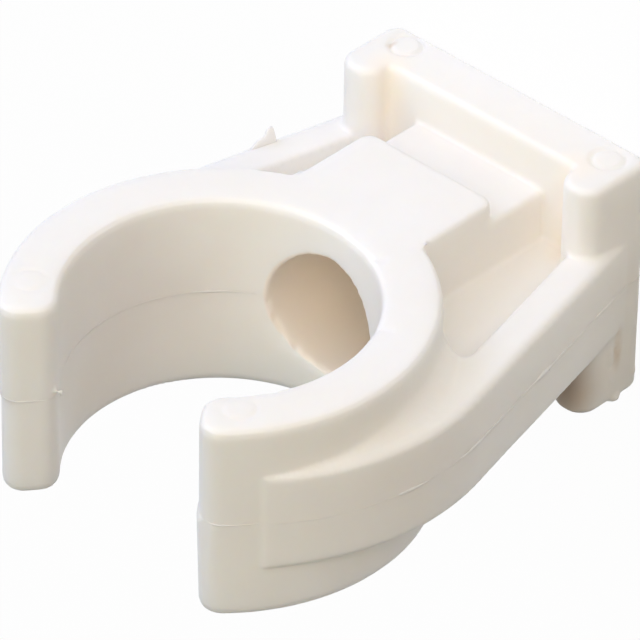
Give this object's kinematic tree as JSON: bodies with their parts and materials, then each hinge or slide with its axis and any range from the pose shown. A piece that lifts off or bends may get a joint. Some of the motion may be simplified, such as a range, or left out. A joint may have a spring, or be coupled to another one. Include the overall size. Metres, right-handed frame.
{
  "type": "pipe clip",
  "caption": "Snap-in wall clip for a pipe: an open sprung jaw on a ribbed web and neck, a channel-shaped base and one screw hole through the back of the jaw.",
  "frame": {"origin": "centre of the base's flat wall face", "axes": "+Z away from the wall, out through the jaw's mouth; +Y along the pipe; +X across the clip"},
  "size_m": [0.033, 0.0184, 0.0396],
  "materials": {
    "moulding": "satin ivory-white moulded polypropylene"
  },
  "bodies": {
    "root": {"clip_body": "moulding"}
  },
  "joints": []
}
